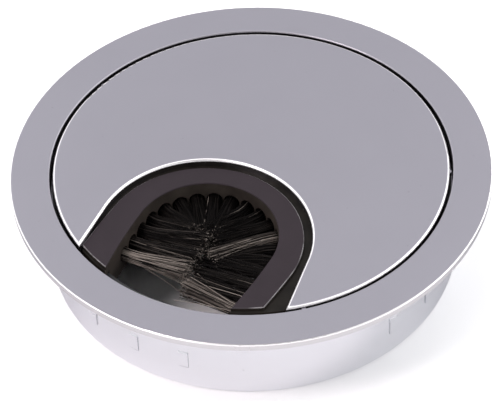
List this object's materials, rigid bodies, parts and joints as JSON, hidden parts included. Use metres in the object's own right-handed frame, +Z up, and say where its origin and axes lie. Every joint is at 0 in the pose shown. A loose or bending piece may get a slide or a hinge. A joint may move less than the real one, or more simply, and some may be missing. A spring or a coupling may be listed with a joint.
{
  "type": "desk cable grommet",
  "caption": "Round flanged desk grommet with a flush turning lid; a U-shaped notch in the lid lets cables out through a black bristle brush.",
  "frame": {"origin": "centre of the desk hole on the desk's top surface, which the flange's underside rests on", "axes": "+Z up out of the desk along the axis of the hole and of the lid; the lid's cable notch opens towards -Y at rest"},
  "size_m": [0.0926, 0.0926, 0.0204],
  "materials": {
    "satin_metal": "satin chrome plated zinc casting, fine even grain",
    "black_nylon": "black nylon, plain moulded",
    "black_plastic": "black moulded plastic, slightly matt",
    "zinc_steel": "zinc plated steel",
    "bristle": "black nylon filaments with a few worn brown ones"
  },
  "bodies": {
    "housing": {"housing_ring": "satin_metal"},
    "turning_ring": {"glide_ring": "black_nylon"},
    "lid": {"lid": "satin_metal", "brush_holder": "black_plastic", "brush_clamp": "black_plastic", "holder_screws": "zinc_steel", "anchor_wire": "zinc_steel", "tuft_roots": "bristle"},
    "tuft_01": {"tuft_01": "bristle"},
    "tuft_02": {"tuft_02": "bristle"},
    "tuft_03": {"tuft_03": "bristle"},
    "tuft_04": {"tuft_04": "bristle"},
    "tuft_05": {"tuft_05": "bristle"},
    "tuft_06": {"tuft_06": "bristle"},
    "tuft_07": {"tuft_07": "bristle"},
    "tuft_08": {"tuft_08": "bristle"},
    "tuft_09": {"tuft_09": "bristle"},
    "tuft_10": {"tuft_10": "bristle"},
    "tuft_11": {"tuft_11": "bristle"},
    "tuft_12": {"tuft_12": "bristle"},
    "tuft_13": {"tuft_13": "bristle"},
    "tuft_14": {"tuft_14": "bristle"},
    "tuft_15": {"tuft_15": "bristle"},
    "tuft_16": {"tuft_16": "bristle"},
    "tuft_17": {"tuft_17": "bristle"},
    "tuft_18": {"tuft_18": "bristle"},
    "tuft_19": {"tuft_19": "bristle"}
  },
  "joints": [
    {"name": "lid_turn", "type": "hinge", "parent": "housing", "child": "turning_ring", "pos_m": [0, 0, 0], "axis": [0, 0, 1], "continuous": true},
    {"name": "lid_lift", "type": "slide", "parent": "turning_ring", "child": "lid", "axis": [0, 0, 1], "range_m": [0, 0.03]},
    {"name": "tuft_01_flex", "type": "hinge", "parent": "lid", "child": "tuft_01", "pos_m": [-0.01389, -0.02631, -0.0038], "axis": [-0.0523, -0.9986, 0], "range_deg": [-40, 40], "stiffness_Nm_per_rad": 0.001},
    {"name": "tuft_02_flex", "type": "hinge", "parent": "lid", "child": "tuft_02", "pos_m": [-0.01388, -0.02286, -0.0038], "axis": [-0.0523, -0.9986, 0], "range_deg": [-40, 40], "stiffness_Nm_per_rad": 0.001},
    {"name": "tuft_03_flex", "type": "hinge", "parent": "lid", "child": "tuft_03", "pos_m": [-0.01376, -0.01941, -0.0038], "axis": [-0.0523, -0.9986, 0], "range_deg": [-40, 40], "stiffness_Nm_per_rad": 0.001},
    {"name": "tuft_04_flex", "type": "hinge", "parent": "lid", "child": "tuft_04", "pos_m": [-0.01331, -0.01611, -0.0038], "axis": [-0.2571, -0.9664, 0], "range_deg": [-40, 40], "stiffness_Nm_per_rad": 0.001},
    {"name": "tuft_05_flex", "type": "hinge", "parent": "lid", "child": "tuft_05", "pos_m": [-0.01209, -0.01308, -0.0038], "axis": [-0.4863, -0.8738, 0], "range_deg": [-40, 40], "stiffness_Nm_per_rad": 0.001},
    {"name": "tuft_06_flex", "type": "hinge", "parent": "lid", "child": "tuft_06", "pos_m": [-0.01016, -0.01045, -0.0038], "axis": [-0.6858, -0.7278, 0], "range_deg": [-40, 40], "stiffness_Nm_per_rad": 0.001},
    {"name": "tuft_07_flex", "type": "hinge", "parent": "lid", "child": "tuft_07", "pos_m": [-0.00764, -0.00837, -0.0038], "axis": [-0.8434, -0.5373, 0], "range_deg": [-40, 40], "stiffness_Nm_per_rad": 0.001},
    {"name": "tuft_08_flex", "type": "hinge", "parent": "lid", "child": "tuft_08", "pos_m": [-0.0047, -0.00697, -0.0038], "axis": [-0.9494, -0.314, 0], "range_deg": [-40, 40], "stiffness_Nm_per_rad": 0.001},
    {"name": "tuft_09_flex", "type": "hinge", "parent": "lid", "child": "tuft_09", "pos_m": [-0.0015, -0.00634, -0.0038], "axis": [-0.9974, -0.0715, 0], "range_deg": [-40, 40], "stiffness_Nm_per_rad": 0.001},
    {"name": "tuft_10_flex", "type": "hinge", "parent": "lid", "child": "tuft_10", "pos_m": [0.00176, -0.00651, -0.0038], "axis": [-0.9845, 0.1754, 0], "range_deg": [-40, 40], "stiffness_Nm_per_rad": 0.001},
    {"name": "tuft_11_flex", "type": "hinge", "parent": "lid", "child": "tuft_11", "pos_m": [0.00488, -0.00747, -0.0038], "axis": [-0.9114, 0.4115, 0], "range_deg": [-40, 40], "stiffness_Nm_per_rad": 0.001},
    {"name": "tuft_12_flex", "type": "hinge", "parent": "lid", "child": "tuft_12", "pos_m": [0.00766, -0.00917, -0.0038], "axis": [-0.7826, 0.6225, 0], "range_deg": [-40, 40], "stiffness_Nm_per_rad": 0.001},
    {"name": "tuft_13_flex", "type": "hinge", "parent": "lid", "child": "tuft_13", "pos_m": [0.00995, -0.0115, -0.0038], "axis": [-0.606, 0.7955, 0], "range_deg": [-40, 40], "stiffness_Nm_per_rad": 0.001},
    {"name": "tuft_14_flex", "type": "hinge", "parent": "lid", "child": "tuft_14", "pos_m": [0.01159, -0.01432, -0.0038], "axis": [-0.3923, 0.9198, 0], "range_deg": [-40, 40], "stiffness_Nm_per_rad": 0.001},
    {"name": "tuft_15_flex", "type": "hinge", "parent": "lid", "child": "tuft_15", "pos_m": [0.01249, -0.01746, -0.0038], "axis": [-0.1547, 0.988, 0], "range_deg": [-40, 40], "stiffness_Nm_per_rad": 0.001},
    {"name": "tuft_16_flex", "type": "hinge", "parent": "lid", "child": "tuft_16", "pos_m": [0.0126, -0.02079, -0.0038], "axis": [0.0523, 0.9986, 0], "range_deg": [-40, 40], "stiffness_Nm_per_rad": 0.001},
    {"name": "tuft_17_flex", "type": "hinge", "parent": "lid", "child": "tuft_17", "pos_m": [0.01235, -0.02423, -0.0038], "axis": [0.0523, 0.9986, 0], "range_deg": [-40, 40], "stiffness_Nm_per_rad": 0.001},
    {"name": "tuft_18_flex", "type": "hinge", "parent": "lid", "child": "tuft_18", "pos_m": [0.012, -0.02767, -0.0038], "axis": [0.0523, 0.9986, 0], "range_deg": [-40, 40], "stiffness_Nm_per_rad": 0.001},
    {"name": "tuft_19_flex", "type": "hinge", "parent": "lid", "child": "tuft_19", "pos_m": [0.01154, -0.0311, -0.0038], "axis": [0.0523, 0.9986, 0], "range_deg": [-40, 40], "stiffness_Nm_per_rad": 0.001}
  ]
}
